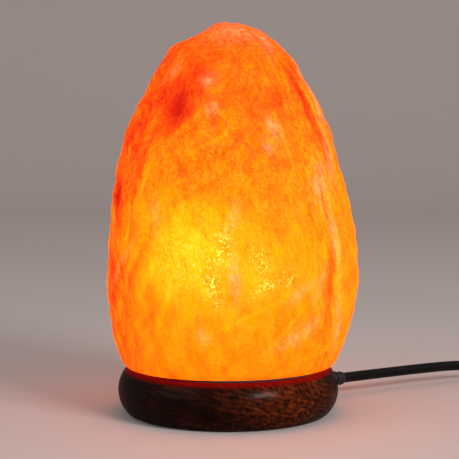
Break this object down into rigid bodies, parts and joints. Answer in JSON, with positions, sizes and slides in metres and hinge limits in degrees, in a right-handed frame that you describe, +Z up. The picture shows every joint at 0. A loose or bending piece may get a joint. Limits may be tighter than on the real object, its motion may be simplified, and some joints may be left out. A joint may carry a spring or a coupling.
{
  "type": "salt crystal lamp",
  "caption": "Table lamp: a hollowed lump of rock salt glows over a small bulb on a round turned wooden base, with a rotary dimmer and a plug on its cord.",
  "frame": {"origin": "centre of the ring foot's underside, on the table", "axes": "+Z up along the base's turned axis, +X to the viewer's right, -Y towards the viewer"},
  "size_m": [0.3021, 0.2714, 0.2103],
  "materials": {
    "dark_wood": "dark stained wood with a satin varnish",
    "foot_rubber": "matte",
    "cover_board": "matte",
    "screw_steel": "bright zinc",
    "dark_felt": "felt",
    "plate_steel": "plain",
    "zinc_steel": "bright zinc",
    "holder_plastic": "matte",
    "white_ceramic": "unglazed",
    "thread_brass": "plain",
    "contact_brass": "plain",
    "bush_rubber": "matte",
    "grip_plastic": "matte",
    "cord_black": "smooth, slightly glossy",
    "wire_insulation": "smooth",
    "rock_salt": "worn raw rock salt, lit orange from inside",
    "bulb_glass": "clear",
    "cap_metal": "plain",
    "black_glass": "black glass",
    "stem_glass": "clear",
    "fine_wire": "plain",
    "filament_wire": "glowing tungsten",
    "case_plastic": "gloss",
    "board_green": "matte",
    "control_grey": "matte",
    "small_parts": "matte",
    "dial_plastic": "satin",
    "shaft_metal": "plain",
    "plug_plastic": "satin",
    "pin_metal": "nickel-plated",
    "sleeve_plastic": "matte"
  },
  "bodies": {
    "base": {"wooden_base": "dark_wood", "foot_ring": "foot_rubber", "bottom_cover": "cover_board", "cover_screws": "screw_steel", "crystal_pad": "dark_felt", "mounting_plate": "plate_steel", "plate_screws": "screw_steel", "threaded_nipple": "zinc_steel", "nipple_nut": "zinc_steel", "lampholder_cap": "holder_plastic", "lampholder_shell": "holder_plastic", "lampholder_insert": "white_ceramic", "thread_shell": "thread_brass", "centre_contact": "contact_brass", "terminals": "contact_brass", "terminal_screws": "screw_steel", "cord_bush": "bush_rubber", "cord_grip_block": "grip_plastic", "cord_grip_bar": "grip_plastic", "cord_grip_screws": "screw_steel", "inner_lead": "cord_black", "inner_wires": "wire_insulation", "lamp_cord": "cord_black", "dimmer_case_bottom": "case_plastic", "dimmer_case_top": "case_plastic", "dimmer_screws": "screw_steel", "dimmer_sleeves": "bush_rubber", "dimmer_leads": "cord_black", "dimmer_wires": "wire_insulation", "dimmer_board": "board_green", "dimmer_control": "control_grey", "dimmer_parts": "small_parts", "plug_lead": "cord_black", "cord_coil": "cord_black", "plug_tail": "cord_black", "plug_body": "plug_plastic", "plug_pins": "pin_metal", "pin_sleeves": "sleeve_plastic"},
    "crystal": {"salt_crystal": "rock_salt"},
    "bulb_seat": {"cap_contact": "contact_brass"},
    "bulb": {"bulb_glass": "bulb_glass", "bulb_cap": "cap_metal", "cap_insulator": "black_glass", "bulb_stem": "stem_glass", "bulb_supports": "fine_wire", "bulb_filament": "filament_wire"},
    "dial": {"dimmer_dial": "dial_plastic", "dimmer_shaft": "shaft_metal"}
  },
  "joints": [
    {"name": "crystal_lift", "type": "slide", "parent": "base", "child": "crystal", "axis": [0, 0, 1], "range_m": [0, 0.1]},
    {"name": "bulb_rise", "type": "slide", "parent": "base", "child": "bulb_seat", "axis": [0, 0, 1], "range_m": [0, 0.017]},
    {"name": "bulb_turn", "type": "hinge", "parent": "bulb_seat", "child": "bulb", "pos_m": [0, 0, 0.0528], "axis": [0, 0, 1], "range_deg": [0, 2160]},
    {"name": "dimmer_dial", "type": "hinge", "parent": "base", "child": "dial", "pos_m": [0.2128, 0.0261, 0.02], "axis": [0, 0, 1], "range_deg": [0, 270]}
  ],
  "couplings": [
    {"joint": "bulb_rise", "follows": "bulb_turn", "m_per_rad": 0.00044917}
  ]
}
